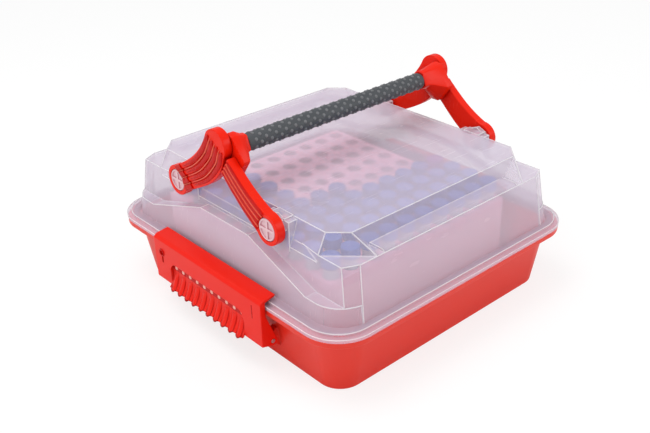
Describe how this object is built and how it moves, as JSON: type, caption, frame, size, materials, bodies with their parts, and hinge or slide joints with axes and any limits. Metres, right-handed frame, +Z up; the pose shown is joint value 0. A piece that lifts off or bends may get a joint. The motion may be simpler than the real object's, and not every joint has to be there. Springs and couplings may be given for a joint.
{
  "type": "specimen transport box",
  "caption": "Lidded carrying box for sample tubes: flared tray, stepped clear lid, two long end latches, a handle of two folding bows and tube racks inside.",
  "frame": {"origin": "middle of the tray underside, on the surface it stands on", "axes": "+Z up; +X along the grip, square to the latched ends; +Y across the grip, from the bow with the grip to the plain bow"},
  "size_m": [0.4284, 0.428, 0.2505],
  "materials": {
    "red_plastic": "moulded polypropylene, satin gloss",
    "pin_steel": "drawn wire",
    "clear_lid": "milky translucent polypropylene",
    "natural_plastic": "natural polypropylene",
    "seal": "silicone",
    "grip_rubber": "soft, dotted",
    "grip_core": "moulded tube",
    "rack_plastic": "tinted polypropylene",
    "tube_plastic": "clear polypropylene",
    "cap_blue": "moulded, ribbed",
    "cap_violet": "moulded, ribbed"
  },
  "bodies": {
    "base": {"base_tray": "red_plastic", "latch_pins_left": "pin_steel", "latch_pins_right": "pin_steel", "cap_violet": "cap_violet", "caps_back_left": "cap_blue", "caps_front_left": "cap_blue", "caps_front_right": "cap_blue", "rack_plate_back_left": "rack_plastic", "rack_plate_back_right": "rack_plastic", "rack_plate_front_left": "rack_plastic", "rack_plate_front_right": "rack_plastic", "rack_stand_back_left": "rack_plastic", "rack_stand_back_right": "rack_plastic", "rack_stand_front_left": "rack_plastic", "rack_stand_front_right": "rack_plastic", "tubes_back_left": "tube_plastic", "tubes_front_left": "tube_plastic", "tubes_front_right": "tube_plastic"},
    "lid": {"lid_shell": "clear_lid", "lid_seal": "seal", "pivot_pins": "natural_plastic"},
    "front_handle": {"front_arm_left": "red_plastic", "front_arm_right": "red_plastic", "grip_end_left": "red_plastic", "grip_end_right": "red_plastic", "grip_core": "grip_core", "grip_sleeve": "grip_rubber"},
    "rear_handle": {"rear_arm_left": "red_plastic", "rear_arm_right": "red_plastic", "rear_bar": "red_plastic"},
    "latch_left": {"latch_left": "red_plastic"},
    "latch_right": {"latch_right": "red_plastic"}
  },
  "joints": [
    {"name": "lid_lift", "type": "slide", "parent": "base", "child": "lid", "axis": [0, 0, 1], "range_m": [0, 0.06]},
    {"name": "front_handle_fold", "type": "hinge", "parent": "lid", "child": "front_handle", "pos_m": [0, -0.0838, 0.1619], "axis": [1, 0, 0], "range_deg": [0, 128]},
    {"name": "rear_handle_fold", "type": "hinge", "parent": "lid", "child": "rear_handle", "pos_m": [0, 0.0838, 0.1619], "axis": [-1, 0, 0], "range_deg": [0, 136]},
    {"name": "latch_left_swing", "type": "hinge", "parent": "base", "child": "latch_left", "pos_m": [-0.193, 0, 0.037], "axis": [0, -1, 0], "range_deg": [0, 111]},
    {"name": "latch_right_swing", "type": "hinge", "parent": "base", "child": "latch_right", "pos_m": [0.193, 0, 0.037], "axis": [0, 1, 0], "range_deg": [0, 111]}
  ],
  "couplings": [
    {"joint": "latch_left_swing", "follows": "lid_lift", "rad_per_m": 31.998},
    {"joint": "latch_right_swing", "follows": "lid_lift", "rad_per_m": 31.998}
  ]
}
